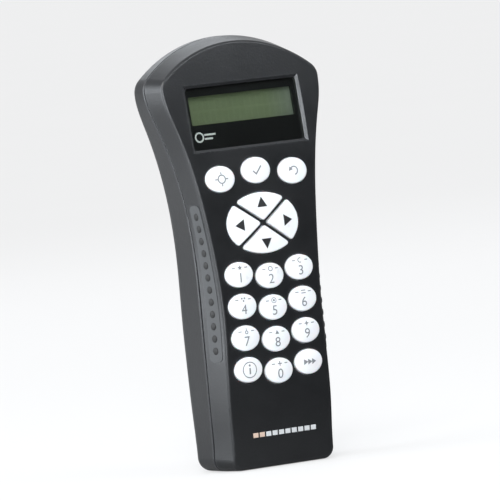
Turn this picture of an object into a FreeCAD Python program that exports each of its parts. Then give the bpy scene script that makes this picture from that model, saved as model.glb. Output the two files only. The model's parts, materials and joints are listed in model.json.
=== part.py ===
"""Hand controller for a motorised telescope mount: a two-shell handset with a display and nineteen keys.

Frame: +Z runs up the handset to its display end, -Y is the front, +X is right when you face the front.
The origin is on the flat bottom end, on the middle plane. Units are millimetres.
The front is a gentle convex arc, so depths are measured from that arc; the back is flat.
"""

import FreeCAD, Part
import math
import os

from FreeCAD import Matrix, Placement, Rotation, Vector

# ---- driving dimensions -------------------------------------------------------------------------

# Overall form
LENGTH = 184.0
FACE_Y = -14.0          # front face at its most forward line
ARC_Z = 63.0            # height of that line
ARC_R = 640.0           # radius of the front arc
BEVEL_DEPTH = 10.0      # front face to the joint between the shells, along Y
BACK_Y = 15.5           # flat back
WALL = 2.2
SEAM = 0.3              # shadow gap between the shells
FACE_EDGE_R = 1.4       # rounding of the face's edge
SEAM_EDGE_R = 0.5       # rounding of both shells' edges at the joint
BACK_EDGE_R = 5.0       # rounding of the back's edge
LIP_T = 1.0             # rear shell's lip, which locates the front shell
LIP_GAP = 0.1
LIP_REACH = 1.4         # into the front shell
LIP_ROOT = 2.0          # into the rear shell

# Outline, as half widths at heights. Level 0 is the face's edge, level 1 the joint between the shells.
SIDE = (
    ((25.0, 6.0), (25.3, 25.0), (25.0, 45.0), (24.4, 66.0), (25.7, 88.0), (27.8, 108.0),
     (30.9, 128.0), (35.3, 146.0), (37.9, 155.0), (38.9, 163.0)),
    ((28.8, 6.0), (29.3, 25.0), (29.7, 45.0), (29.8, 66.0), (29.5, 88.0), (30.4, 108.0),
     (33.3, 128.0), (38.0, 146.0), (40.8, 155.0), (42.0, 163.0)),
)
TOP = (181.4, LENGTH)
SHOULDER_R = (6.5, 8.0)
CORNER_R = (5.0, 6.0)

# Keys: ellipses, width by height
KEY_SIZE = (13.6, 10.8)
TOP_KEY_SIZE = (14.2, 11.2)
KEY_GAP = 0.3           # key to the rim of its hole
KEY_PROUD = 1.8
KEY_TRAVEL = 1.2
KEY_DOME_R = 26.0
KEY_RIM_R = 0.7
COLUMN_PITCH = 15.0
ROW_PITCH = 13.5
ROW_Z = 42.5            # lowest row
MIDDLE_DROP = 2.0       # the middle column sits lower, so each row makes a shallow V
TOP_ROW_Z = 124.0
TOP_COLUMN_PITCH = 18.0
TOP_MIDDLE_RISE = 2.0
ARROW_Z = 103.6
ARROW_HALF = (18.0, 13.3)
ARROW_WEB = 1.0         # X-shaped web of the front shell between the arrow keys
ARROW_DOME_R = 110.0
ARROW_CORNER_R = 1.3
ARROW_STEM_SHARE = 0.62  # an arrow key's stem, as a share of the way out from the pad's centre
FLANGE = 0.55           # how far a key's flange stands out from its sides
FLANGE_T = 0.9
FLANGE_GAP = 0.3        # flange to the inside of the front shell
STEM_R = 3.3
PILL_R = 2.4
PILL_T = 0.5

# Display window and the display module behind it, both square to the arc at WINDOW_Z
WINDOW_Z = 150.3
WINDOW = (55.0, 26.8)
WINDOW_R = 1.6
WINDOW_RIM = 1.3        # width of the slope around the window
WINDOW_DEPTH = 0.9      # window's surface below the face
WINDOW_T = 1.4
MASK_T = 0.15
MASK_GAP = 0.03
WINDOW_SEAT = WINDOW_DEPTH + WINDOW_T + MASK_GAP + MASK_T
LEDGE = 1.8             # width of the ledge that the masked window sits on
LEDGE_T = 1.4
APERTURE = (51.5, 12.2)
APERTURE_R = 0.5
APERTURE_H = 3.6        # aperture's centre above the window's centre
BEZEL = (57.0, 21.0)
BEZEL_T = 0.4
BEZEL_R = 0.8
BEZEL_MARGIN = (1.0, 1.2)  # bezel's opening beyond the mask's, each side
GLASS = (55.4, 18.0)
GLASS_T = 2.2
LIGHT = (55.8, 20.0)
LIGHT_T = 3.0
LCD_CORNER_R = 0.4
LCD_FRONT = 4.2         # bezel's front below the face
LCD_SEAT = LCD_FRONT + BEZEL_T + GLASS_T + LIGHT_T
LCD_BOARD = (59.0, 37.6)
LCD_BOARD_R = 1.0
LCD_BOARD_H = 0.2       # board's centre above the window's centre
BOARD_T = 1.6

# Main board and key mat
BOARD_Y = -4.5          # board's front
BOARD_BACK = BOARD_Y + BOARD_T
BOARD_HALF = 21.0
BOARD_Z = (3.0, 131.0)
BOARD_NOTCH = (17.2, 13.5)  # where the lowest case screws pass: half width kept, top of the notch
MAT_T = 1.0
MAT_HALF = 20.4
MAT_Z = (33.5, 130.5)
MAT_R = 3.0
MAT_STEM_GAP = 0.6
MAT_BOSS_GAP = 0.4
KEY_LIGHT = (2.0, 0.7, 1.2)  # width, thickness, height
KEY_LIGHT_GAP = 0.4
SIDE_LIGHT_AT = ((14.0, 92.0), (9.5, 118.0))

# Chips on the board's back: x, z, width, height, thickness, leads on each side
CHIPS = (
    (0.0, 78.0, 14.0, 14.0, 1.6, 10),
    (-10.0, 52.0, 4.0, 5.0, 1.5, 4),
    (8.0, 52.0, 7.6, 10.2, 2.2, 8),
    (-9.0, 34.0, 4.0, 9.9, 1.5, 8),
)
CHIP_LIFT = 0.2
LEAD = (1.0, 0.5, 0.4)  # reach, height off the board, width
LEAD_ROOT = 0.2         # lead's length inside the chip

# Capacitors: x, z, radius, height
CAPACITORS = ((11.0, 33.0, 3.1, 5.4), (4.0, 32.0, 2.0, 5.4), (13.0, 96.0, 2.0, 3.8), (-13.0, 96.0, 2.0, 3.8))

# Flat cable between the boards
RIBBON = (34.0, 0.3)    # width, thickness
RIBBON_Z = (121.0, 127.0)  # where it leaves the main board, and where it turns
RIBBON_END = -14.0      # where it meets the display's board, above the window's centre
RIBBON_BOW = 0.8
RIBBON_SPANS = 8

# Screws
CASE_SCREW_AT = ((21.3, 8.2), (25.2, 113.0), (34.2, 161.0))
CASE_BOSS_R = 3.2
CASE_POST_R = 4.2
CASE_BORE_R = 3.0
CASE_SHANK_R = 1.5
CASE_HEAD = (2.7, 2.2)  # radius, height
CASE_THREAD = 7.0       # screw's length inside the front shell's boss
HEAD_SINK = 5.6         # screw's seat below the back
BOARD_SCREW_AT = ((18.8, 112.3), (17.5, 28.0))
BOARD_BOSS_R = 2.4
BOARD_SHANK_R = 1.0
BOARD_HEAD = (1.9, 1.3)
BOARD_SCREW_LENGTH = 5.0
BOARD_HOLE = 4.0        # screw hole's depth in the bosses for the boards
LCD_SCREW_AT = ((26.6, -16.6), (26.6, 17.0))
SCREW_GAP = 0.2         # around a screw or boss that passes through a larger hole
SCREW_TIP_R = 0.3

# Grips on the bevels
GRIP_Z = (47.0, 114.0)
GRIP_DEPTH = (1.7, 7.3)
GRIP_PROUD = 0.35
GRIP_SUNK = 0.8
GRIP_END_R = 2.2

# Sockets in the bottom end: width, height, depth, and centre along X
CORD_JACK = (13.2, 11.6, 17.0, -9.5)
COMPUTER_JACK = (11.2, 11.6, 17.0, 9.0)
CORD_CAVITY = (9.9, 6.9)
COMPUTER_CAVITY = (7.9, 6.6)
CAVITY_RISE = 0.6       # cavity's centre behind the socket's
CAVITY_END = 13.0
LATCH = (3.4, 1.6)      # slot for the plug's latch: width, depth
LATCH_STEP = (6.4, 0.8)
LATCH_END = 11.0
JACK_RECESS = 0.5
JACK_GAP = 0.15
JACK_WINDOW = 4.0       # cut through the bottom end, from below
CORD_CONTACTS = 6
COMPUTER_CONTACTS = 4
CONTACT_R = 0.22
CONTACT_PITCH = 1.02
CONTACT_Z = (3.2, 12.4)  # wire's ends
CONTACT_DROP = (0.35, 2.6)  # the same ends, below the cavity's back wall

# Label and finger ridges on the back
LABEL = (34.0, 46.0)
LABEL_R = 2.5
LABEL_Z = 78.0
LABEL_T = 0.15
LABEL_SINK = 0.1
LABEL_GAP = 0.3
RIDGE_COUNT = 6
RIDGE_Z = 18.0
RIDGE_PITCH = 4.2
RIDGE = (30.0, 1.6, 0.6)

CLEAR = 0.05            # between pieces that would touch
FIT = 0.02              # between the stacked pieces of the display
OVER = 1.0              # how far a cutting tool runs past what it cuts
FAR = 100.0             # beyond the whole part
PARTS = "parts"

ALONG_Y = Vector(0, 1, 0)


# ---- frame helpers ------------------------------------------------------------------------------

def face_y(z, depth=0.0):
    """Y of the front arc at height z, depth below the face."""
    radius = ARC_R - depth
    return FACE_Y + ARC_R - math.sqrt(radius**2 - (z - ARC_Z) ** 2)


def arc_tilt(z):
    """How far the face leans back at height z, in degrees."""
    return math.degrees(math.asin((z - ARC_Z) / ARC_R))


def arc_solid(depth):
    """Everything behind the front arc, pushed in by depth."""
    return Part.makeCylinder(ARC_R - depth, 2 * FAR, Vector(-FAR, FACE_Y + ARC_R, ARC_Z), Vector(1, 0, 0))


def box(x, y, z):
    """A box from three (low, high) pairs."""
    return Part.makeBox(x[1] - x[0], y[1] - y[0], z[1] - z[0], Vector(x[0], y[0], z[0]))


def rod(radius, x, z, y_low, y_high):
    """A cylinder along Y."""
    return Part.makeCylinder(radius, y_high - y_low, Vector(x, y_low, z), ALONG_Y)


def ellipse_prism(half_x, half_z, x, z, y_low, y_high):
    """An elliptical prism along Y, which need not be wider than it is tall."""
    unit = rod(1.0, 0, 0, 0, 1)
    grow = Matrix()
    grow.scale(half_x, y_high - y_low, half_z)
    prism = unit.transformGeometry(grow)
    prism.translate(Vector(x, y_low, z))
    return prism


def is_along_y(edge):
    """True for a straight edge parallel to Y."""
    ends = [v.Point for v in edge.Vertexes]
    return len(ends) == 2 and abs(ends[0].x - ends[1].x) < 1e-6 and abs(ends[0].z - ends[1].z) < 1e-6


def plate(size, low, high, z=0.0):
    """A plate centred on the middle plane, between two Y values."""
    width, height = size
    return box((-width / 2, width / 2), (low, high), (z - height / 2, z + height / 2))


def rounded_plate(size, radius, low, high, z=0.0):
    """A plate with rounded corners."""
    sharp = plate(size, low, high, z)
    return sharp.makeFillet(radius, [e for e in sharp.Edges if is_along_y(e)])


def both_sides(points):
    """Each (x, z) point and its mirror image."""
    return [(side * x, z) for x, z in points for side in (-1, 1)]


def window_place():
    """The window's own frame: Y goes into the face and Z up the face."""
    tilt = Rotation(Vector(1, 0, 0), -arc_tilt(WINDOW_Z))
    return Placement(Vector(0, face_y(WINDOW_Z), WINDOW_Z), tilt)


def tilted(shape):
    """Takes a shape from the window's own frame to the part's frame."""
    placed = shape.copy()
    placed.Placement = window_place().multiply(placed.Placement)
    return placed


def fused(shapes):
    """One clean solid from shapes that touch or overlap."""
    return shapes[0].fuse(shapes[1:]).removeSplitter()


# ---- outline ------------------------------------------------------------------------------------

def bevel_share(y, z):
    """How far down the bevel a depth lies at height z: 0 at the face, 1 at the joint."""
    return (y - face_y(z)) / BEVEL_DEPTH


def between(pair, share):
    """The value a share of the way from a pair's first to its second."""
    return pair[0] + share * (pair[1] - pair[0])


def outline_wire(y, inset, share=None):
    """A closed section of the walls at one Y, drawn in by inset.

    The walls slope as the bevel does, or stand straight on the joint's outline where share is 1.
    """
    def at(z):
        return bevel_share(y, z) if share is None else share

    side = []
    for (x0, z), (x1, _) in zip(*SIDE):
        side.append((between((x0, x1), at(z)) - inset, z))
    top = between(TOP, at(TOP[0])) - inset
    shoulder = between(SHOULDER_R, at(side[-1][1])) - inset
    corner = between(CORNER_R, at(0.0)) - inset
    low_x = side[0][0]
    wide_x, wide_z = side[-1]
    inner_x = wide_x - shoulder
    drop = top - wide_z
    arch = (inner_x**2 + drop**2 - shoulder**2) / (2 * (drop - shoulder))
    join = math.atan2(wide_z - (top - arch), inner_x)
    half_join = join / 2
    quarter = corner * math.sqrt(0.5)

    def point(x, z):
        return Vector(x, y, z)

    stations = [point(low_x, inset + corner)] + [point(x, z) for x, z in side[1:]]
    upward = Vector(0, 0, 1)
    curve = Part.BSplineCurve()
    curve.interpolate(Points=stations, InitialTangent=upward, FinalTangent=upward)
    corner_mid = point(low_x - corner + quarter, inset + corner - quarter)
    round_mid = point(inner_x + shoulder * math.cos(half_join), wide_z + shoulder * math.sin(half_join))
    round_end = point(inner_x + shoulder * math.cos(join), wide_z + shoulder * math.sin(join))
    lean = (math.pi / 2 + join) / 2
    arch_mid = point(arch * math.cos(lean), top - arch + arch * math.sin(lean))
    right = [
        Part.makeLine(point(0, inset), point(low_x - corner, inset)),
        Part.Arc(point(low_x - corner, inset), corner_mid, stations[0]).toShape(),
        curve.toShape(),
        Part.Arc(stations[-1], round_mid, round_end).toShape(),
        Part.Arc(round_end, arch_mid, point(0, top)).toShape(),
    ]
    left = [edge.mirror(Vector(0, 0, 0), Vector(1, 0, 0)) for edge in reversed(right)]
    return Part.Wire(right + left)


def bevel_solid(inset):
    """The solid inside the bevelled walls, from ahead of the face to behind the joint."""
    ahead = outline_wire(FACE_Y - 3 * OVER, inset)
    behind = outline_wire(joint_y(LENGTH) + 2 * OVER, inset)
    return Part.makeLoft([ahead, behind], True, True)


def rear_solid(inset, back):
    """The solid inside the straight rear walls, from ahead of the joint to a flat back."""
    start = FACE_Y + 2 * OVER
    return Part.Face(outline_wire(start, inset, 1.0)).extrude(Vector(0, back - start, 0))


def joint_y(z):
    """Y of the joint between the shells."""
    return face_y(z) + BEVEL_DEPTH


def edges_at(shape, depth):
    """A shape's edges that lie on the front arc pushed in by depth."""
    return [e for e in shape.Edges if all(abs(v.Y - face_y(v.Z, depth)) < 0.01 for v in e.Vertexes)]


def edges_on_back(shape, y):
    """A shape's edges that lie flat at one Y."""
    return [e for e in shape.Edges if all(abs(v.Y - y) < 0.01 for v in e.Vertexes)]


# ---- keys ---------------------------------------------------------------------------------------

def round_keys():
    """name: (x, z, width, height) of each elliptical key."""
    keys = {}
    top_names = ("align_key", "enter_key", "undo_key")
    for column, name in enumerate(top_names):
        rise = TOP_MIDDLE_RISE if column == 1 else 0.0
        keys[name] = (TOP_COLUMN_PITCH * (column - 1), TOP_ROW_Z + rise, *TOP_KEY_SIZE)
    names = ("info_key", "key_0", "rate_key", "key_7", "key_8", "key_9",
             "key_4", "key_5", "key_6", "key_1", "key_2", "key_3")
    for i, name in enumerate(names):
        row, column = divmod(i, 3)
        drop = MIDDLE_DROP if column == 1 else 0.0
        keys[name] = (COLUMN_PITCH * (column - 1), ROW_Z + ROW_PITCH * row - drop, *KEY_SIZE)
    return keys


def arrow_keys():
    """name: (stem x, stem z, direction) of each arrow key. Direction is the quarter it fills."""
    half_x, half_z = ARROW_HALF
    return {
        "arrow_up_key": (0.0, ARROW_Z + ARROW_STEM_SHARE * half_z, (0, 1)),
        "arrow_down_key": (0.0, ARROW_Z - ARROW_STEM_SHARE * half_z, (0, -1)),
        "arrow_left_key": (-ARROW_STEM_SHARE * half_x, ARROW_Z, (-1, 0)),
        "arrow_right_key": (ARROW_STEM_SHARE * half_x, ARROW_Z, (1, 0)),
    }


def wedge(direction, y_low, y_high, shrink):
    """One quarter of the arrow pad, cut by the pad's diagonals and drawn in by shrink."""
    half_x, half_z = ARROW_HALF
    disc = ellipse_prism(half_x - shrink, half_z - shrink, 0, ARROW_Z, y_low, y_high)
    reach = 3.0
    dx, dz = direction
    corner_a = Vector(reach * half_x * (dx + dz), 0, reach * half_z * (dx + dz))
    corner_b = Vector(reach * half_x * (dx - dz), 0, reach * half_z * (dz - dx))
    diagonal = math.hypot(half_x, half_z)
    back_off = ARROW_WEB / 2 + shrink
    spread = half_x if dx == 0 else half_z
    tip = Vector(dx, 0, dz) * (back_off * diagonal / spread)
    base = Vector(0, y_low, ARROW_Z)
    flat = Part.makePolygon([base + tip, base + tip + corner_a, base + tip + corner_b, base + tip])
    slice_solid = Part.Face(flat).extrude(Vector(0, y_high - y_low, 0))
    piece = disc.common(slice_solid)
    return piece.makeFillet(ARROW_CORNER_R - shrink, [e for e in piece.Edges if is_along_y(e)])


def round_top(prism, dome_point, dome_normal, radius):
    """Cuts a key's front with a large ball and rounds its rim."""
    ball = Part.makeSphere(radius, dome_point + dome_normal * radius)
    domed = prism.common(ball)
    front = min(domed.Faces, key=lambda f: f.CenterOfMass.y)
    return domed.makeFillet(KEY_RIM_R, front.Edges)


def key_levels(z_low, z_high):
    """Y of the flange's front and of the stem's end, for a key between two heights."""
    flange_front = max(face_y(z_low, WALL), face_y(z_high, WALL)) + FLANGE_GAP
    stem_end = BOARD_Y - KEY_TRAVEL - CLEAR - PILL_T
    return flange_front, stem_end


def make_round_key(x, z, width, height):
    """An elliptical key: a domed cap, a flange behind the shell, and a stem."""
    flange_front, stem_end = key_levels(z - height / 2, z + height / 2)
    top = face_y(z) - KEY_PROUD
    tilt = math.radians(arc_tilt(z))
    cap = ellipse_prism(width / 2, height / 2, x, z, top - OVER, flange_front)
    cap = round_top(cap, Vector(x, top, z), Vector(0, math.cos(tilt), -math.sin(tilt)), KEY_DOME_R)
    flange_back = flange_front + FLANGE_T
    flange = ellipse_prism(width / 2 + FLANGE, height / 2 + FLANGE, x, z, flange_front, flange_back)
    return fused([cap, flange, rod(STEM_R, x, z, flange_back, stem_end)])


def make_arrow_key(x, z, direction):
    """A quarter of the arrow pad, with its flange and stem."""
    half_x, half_z = ARROW_HALF
    flange_front, stem_end = key_levels(ARROW_Z - half_z, ARROW_Z + half_z)
    top = face_y(ARROW_Z) - KEY_PROUD
    tilt = math.radians(arc_tilt(ARROW_Z))
    cap = wedge(direction, top - OVER, flange_front, KEY_GAP)
    normal = Vector(0, math.cos(tilt), -math.sin(tilt))
    cap = round_top(cap, Vector(0, top, ARROW_Z), normal, ARROW_DOME_R)
    flange = wedge(direction, flange_front, flange_front + FLANGE_T, KEY_GAP - FLANGE)
    stem = rod(STEM_R, x, z, flange_front + FLANGE_T, stem_end)
    return fused([cap, flange, stem])


def make_pill(x, z):
    """The conductive pill that a key's stem carries down to the board."""
    end = BOARD_Y - KEY_TRAVEL - CLEAR
    return rod(PILL_R, x, z, end - PILL_T, end)


def stem_places():
    """(x, z) of every key's stem."""
    return [k[:2] for k in round_keys().values()] + [k[:2] for k in arrow_keys().values()]


# ---- grips --------------------------------------------------------------------------------------

def grip_solid(side, inner, outer, grow):
    """A strip of the bevel between two insets, on one side, grown by a clearance."""
    ring = bevel_solid(-outer).cut(bevel_solid(inner))
    band = arc_solid(GRIP_DEPTH[0] - grow).cut(arc_solid(GRIP_DEPTH[1] + grow))
    half = box((0.0, FAR) if side > 0 else (-FAR, 0.0), (-FAR, FAR), (GRIP_Z[0] - grow, GRIP_Z[1] + grow))
    strip = ring.common(band).common(half)
    ends = [e for e in strip.Edges if is_end_edge(e)]
    return strip.makeFillet(GRIP_END_R, ends)


def is_end_edge(edge):
    """True for the short edges that run through a grip's thickness at its corners."""
    ends = [v.Point for v in edge.Vertexes]
    if len(ends) != 2:
        return False
    at_end = any(all(abs(p.z - z) < 0.2 for p in ends) for z in GRIP_Z)
    return at_end and edge.Length < 2.5


# ---- shells -------------------------------------------------------------------------------------

def rectangle(width, height, depth):
    """A closed rectangle in the window's own frame."""
    corners = ((-1, -1), (1, -1), (1, 1), (-1, 1), (-1, -1))
    return Part.makePolygon([Vector(sx * width / 2, depth, sz * height / 2) for sx, sz in corners])


def window_size(grow):
    """The window's width and height, grown by the same amount on every side."""
    return WINDOW[0] + 2 * grow, WINDOW[1] + 2 * grow


def window_pocket():
    """The sloping rim, the window's seat and the opening through the ledge."""
    mouth = plate(window_size(WINDOW_RIM), -3 * OVER, 0.0)
    edges = [rectangle(*window_size(WINDOW_RIM), 0.0), rectangle(*WINDOW, WINDOW_DEPTH)]
    rim = Part.makeLoft(edges, True, True)
    seat = rounded_plate(WINDOW, WINDOW_R, WINDOW_DEPTH - CLEAR, WINDOW_SEAT)
    opening = rounded_plate(window_size(-LEDGE), WINDOW_R, WINDOW_SEAT - CLEAR, LCD_SEAT)
    return tilted(fused([mouth, rim, seat, opening]))


def window_frame():
    """The thickened frame behind the window, inside the front shell."""
    return tilted(rounded_plate(window_size(WALL), WINDOW_R + WALL, WALL / 2, WINDOW_SEAT + LEDGE_T))


def jack_windows():
    """Openings for the sockets in the bottom end."""
    cuts = []
    for width, height, _, x in (CORD_JACK, COMPUTER_JACK):
        half = width / 2 + JACK_GAP
        span = (BOARD_BACK - JACK_GAP, BOARD_BACK + height + JACK_GAP)
        cuts.append(box((x - half, x + half), span, (-OVER, JACK_WINDOW)))
    return cuts


def front_bosses():
    """Posts inside the front shell for the case, board and display screws."""
    posts = [rod(CASE_BOSS_R, x, z, -FAR, joint_y(z) - CLEAR) for x, z in both_sides(CASE_SCREW_AT)]
    posts += [rod(BOARD_BOSS_R, x, z, -FAR, BOARD_Y) for x, z in both_sides(BOARD_SCREW_AT)]
    posts += [tilted(rod(BOARD_BOSS_R, x, h, 0.0, LCD_SEAT)) for x, h in both_sides(LCD_SCREW_AT)]
    return posts


def front_screw_holes():
    """Pilot holes in those posts."""
    holes = []
    for x, z in both_sides(CASE_SCREW_AT):
        holes.append(rod(CASE_SHANK_R, x, z, joint_y(z) - CASE_THREAD - OVER, FAR))
    holes += [rod(BOARD_SHANK_R, x, z, BOARD_Y - BOARD_HOLE, FAR) for x, z in both_sides(BOARD_SCREW_AT)]
    for x, h in both_sides(LCD_SCREW_AT):
        holes.append(tilted(rod(BOARD_SHANK_R, x, h, LCD_SEAT - BOARD_HOLE, LCD_SEAT + OVER)))
    return holes


def key_holes():
    """Openings for the keys, deep enough to clear everything behind the face."""
    holes = []
    for x, z, width, height in round_keys().values():
        half_x, half_z = width / 2 + KEY_GAP, height / 2 + KEY_GAP
        holes.append(ellipse_prism(half_x, half_z, x, z, FACE_Y - OVER, BOARD_Y - MAT_T))
    for _, _, direction in arrow_keys().values():
        holes.append(wedge(direction, FACE_Y - OVER, BOARD_Y - MAT_T, 0.0))
    return holes


def make_front_shell():
    outer = bevel_solid(0.0).common(arc_solid(0.0))
    outer = outer.makeFillet(FACE_EDGE_R, edges_at(outer, 0.0))
    end = BEVEL_DEPTH - SEAM / 2
    outer = outer.cut(arc_solid(end))
    shell = outer.makeFillet(SEAM_EDGE_R, edges_at(outer, end))
    hollow = bevel_solid(WALL).common(arc_solid(WALL))
    inside = bevel_solid(WALL / 2).common(arc_solid(WALL / 2))
    added = [piece.common(inside) for piece in front_bosses() + [window_frame()]]
    shell = shell.cut(hollow).fuse(added)
    cuts = [window_pocket()] + jack_windows() + key_holes() + front_screw_holes()
    cuts += [grip_solid(side, GRIP_SUNK, OVER, CLEAR) for side in (-1, 1)]
    return shell.cut(cuts).removeSplitter()


def joint_ring(outer, inner, start, end):
    """A ring inside the walls between two insets, which follows the joint between two depths."""
    ring = rear_solid(outer, BACK_Y - WALL).cut(rear_solid(inner, BACK_Y))
    return ring.common(arc_solid(start)).cut(arc_solid(end))


def lip():
    """The rear shell's lip and the thickened root that carries it."""
    outer = WALL + LIP_GAP
    inner = outer + LIP_T
    end = BEVEL_DEPTH + LIP_ROOT
    tongue = joint_ring(outer, inner, BEVEL_DEPTH - LIP_REACH, end).common(bevel_solid(outer))
    return [tongue, joint_ring(WALL * 0.8, inner, BEVEL_DEPTH + SEAM / 2, end)]


def back_cuts():
    """The label's recess and the finger ridges."""
    cuts = [rounded_plate(LABEL, LABEL_R, BACK_Y - LABEL_T - LABEL_SINK, BACK_Y + OVER, LABEL_Z)]
    width, height, depth = RIDGE
    for i in range(RIDGE_COUNT):
        z = RIDGE_Z + RIDGE_PITCH * i
        cuts.append(rounded_plate((width, height), 0.49 * height, BACK_Y - depth, BACK_Y + OVER, z))
    return cuts


def make_rear_shell():
    outer = rear_solid(0.0, BACK_Y)
    start = BEVEL_DEPTH + SEAM / 2
    outer = outer.makeFillet(BACK_EDGE_R, edges_on_back(outer, BACK_Y)).common(arc_solid(start))
    outer = outer.makeFillet(SEAM_EDGE_R, edges_at(outer, start))
    hollow = rear_solid(WALL, BACK_Y - WALL)
    hollow = hollow.makeFillet(BACK_EDGE_R - WALL, edges_on_back(hollow, BACK_Y - WALL))
    added = lip()
    cuts = jack_windows() + back_cuts()
    for x, z in both_sides(CASE_SCREW_AT):
        added.append(rod(CASE_POST_R, x, z, joint_y(z) + CLEAR, BACK_Y - WALL / 2).common(outer))
        cuts.append(rod(CASE_BORE_R, x, z, BACK_Y - HEAD_SINK, FAR))
        cuts.append(rod(CASE_SHANK_R + SCREW_GAP, x, z, -FAR, FAR))
        cuts.append(rod(CASE_BOSS_R + SCREW_GAP, x, z, -FAR, joint_y(z) + CLEAR))
    return outer.cut(hollow).fuse(added).cut(cuts).removeSplitter()


# ---- window and display module ------------------------------------------------------------------

def make_display_window():
    return tilted(rounded_plate(window_size(-CLEAR), WINDOW_R, WINDOW_DEPTH, WINDOW_DEPTH + WINDOW_T))


def make_window_mask():
    """The printed frame behind the window, as a thin sheet with the display's opening."""
    low = WINDOW_DEPTH + WINDOW_T + MASK_GAP
    sheet = rounded_plate(window_size(-CLEAR), WINDOW_R, low, low + MASK_T)
    return tilted(sheet.cut(rounded_plate(APERTURE, APERTURE_R, low - OVER, low + OVER, APERTURE_H)))


def make_lcd_bezel():
    """A folded metal frame: a front with an opening, and four sides."""
    width, height = BEZEL
    can = rounded_plate(BEZEL, BEZEL_R, LCD_FRONT, LCD_SEAT, APERTURE_H)
    within = (width - 2 * BEZEL_T, height - 2 * BEZEL_T)
    inner = rounded_plate(within, BEZEL_R - BEZEL_T, LCD_FRONT + BEZEL_T, LCD_SEAT + OVER, APERTURE_H)
    mouth = (APERTURE[0] + 2 * BEZEL_MARGIN[0], APERTURE[1] + 2 * BEZEL_MARGIN[1])
    opening = rounded_plate(mouth, APERTURE_R, LCD_FRONT - OVER, LCD_SEAT, APERTURE_H)
    return tilted(can.cut([inner, opening]))


def make_lcd_glass():
    low = LCD_FRONT + BEZEL_T
    return tilted(rounded_plate(GLASS, LCD_CORNER_R, low + FIT, low + GLASS_T - FIT, APERTURE_H))


def make_lcd_light_guide():
    return tilted(rounded_plate(LIGHT, LCD_CORNER_R, LCD_SEAT - LIGHT_T + FIT, LCD_SEAT - FIT, APERTURE_H))


def make_lcd_board():
    board = rounded_plate(LCD_BOARD, LCD_BOARD_R, LCD_SEAT + FIT, LCD_SEAT + FIT + BOARD_T, LCD_BOARD_H)
    holes = [rod(BOARD_SHANK_R + SCREW_GAP, x, h, 0.0, FAR) for x, h in both_sides(LCD_SCREW_AT)]
    return tilted(board.cut(holes))


def make_lcd_ribbon():
    """A flat cable from the back of the main board to the back of the display board."""
    width, thick = RIBBON
    start = BOARD_BACK + CLEAR
    low, turn = RIBBON_Z
    end = window_place().multVec(Vector(0, LCD_SEAT + FIT + BOARD_T + CLEAR, RIBBON_END))
    curve = Part.BezierCurve()
    curve.setPoles([Vector(0, start, low), Vector(0, start, turn), Vector(0, end.y + RIBBON_BOW, turn), end])
    near, far = [], []
    for i in range(RIBBON_SPANS + 1):
        point = curve.value(i / RIBBON_SPANS)
        along = curve.tangent(i / RIBBON_SPANS)[0]
        near.append(point)
        far.append(point + Vector(0, along.z, -along.y) * thick)
    front, back = Part.BSplineCurve(), Part.BSplineCurve()
    front.interpolate(Points=near)
    back.interpolate(Points=far)
    profile = Part.Wire([front.toShape(), Part.makeLine(near[-1], far[-1]),
                         back.toShape(), Part.makeLine(far[0], near[0])])
    strip = Part.Face(profile).extrude(Vector(width, 0, 0))
    strip.translate(Vector(-width / 2, 0, 0))
    return strip


# ---- main board and what it carries ---------------------------------------------------------------

def make_main_board():
    board = box((-BOARD_HALF, BOARD_HALF), (BOARD_Y, BOARD_BACK), BOARD_Z)
    kept, top = BOARD_NOTCH
    cuts = [box((kept, FAR), (-FAR, FAR), (-FAR, top)), box((-FAR, -kept), (-FAR, FAR), (-FAR, top))]
    cuts += [rod(BOARD_SHANK_R + SCREW_GAP, x, z, -FAR, FAR) for x, z in both_sides(BOARD_SCREW_AT)]
    return board.cut(cuts)


def light_places():
    """(x, z) of the key lights, between the keys."""
    middle = ROW_Z - MIDDLE_DROP / 2
    low = [(COLUMN_PITCH / 2, middle + ROW_PITCH * (row + 0.5)) for row in range(3)]
    return both_sides(low + list(SIDE_LIGHT_AT))


def light_box(x, z, grow, low):
    """The space of one key light, grown by a clearance, from low to the board."""
    half_w, half_h = KEY_LIGHT[0] / 2 + grow, KEY_LIGHT[2] / 2 + grow
    return box((x - half_w, x + half_w), (low, BOARD_Y), (z - half_h, z + half_h))


def make_key_mat():
    size = (2 * MAT_HALF, MAT_Z[1] - MAT_Z[0])
    mat = rounded_plate(size, MAT_R, BOARD_Y - MAT_T, BOARD_Y, sum(MAT_Z) / 2)
    cuts = [rod(STEM_R + MAT_STEM_GAP, x, z, -FAR, FAR) for x, z in stem_places()]
    cuts += [light_box(x, z, KEY_LIGHT_GAP, BOARD_Y - MAT_T - OVER) for x, z in light_places()]
    cuts += [rod(BOARD_BOSS_R + MAT_BOSS_GAP, x, z, -FAR, FAR) for x, z in both_sides(BOARD_SCREW_AT)]
    return mat.cut(cuts)


def make_key_lights():
    return Part.makeCompound([light_box(x, z, 0.0, BOARD_Y - KEY_LIGHT[1]) for x, z in light_places()])


def make_chip(x, z, width, height, thick, leads):
    """A chip body with leads down its left and right sides, on the board's back."""
    body = ((x - width / 2, x + width / 2), (BOARD_BACK + CHIP_LIFT, BOARD_BACK + thick),
            (z - height / 2, z + height / 2))
    pieces = [box(*body)]
    reach, tall, wide = LEAD
    for i in range(leads):
        lead_z = z + height * ((i + 0.5) / leads - 0.5)
        for side in (-1, 1):
            ends = sorted((x + side * (width / 2 - LEAD_ROOT), x + side * (width / 2 + reach)))
            pieces.append(box(ends, (BOARD_BACK, BOARD_BACK + tall), (lead_z - wide / 2, lead_z + wide / 2)))
    return fused(pieces)


def make_chips():
    return Part.makeCompound([make_chip(*chip) for chip in CHIPS])


def make_capacitors():
    return Part.makeCompound([rod(r, x, z, BOARD_BACK, BOARD_BACK + h) for x, z, r, h in CAPACITORS])


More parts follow.
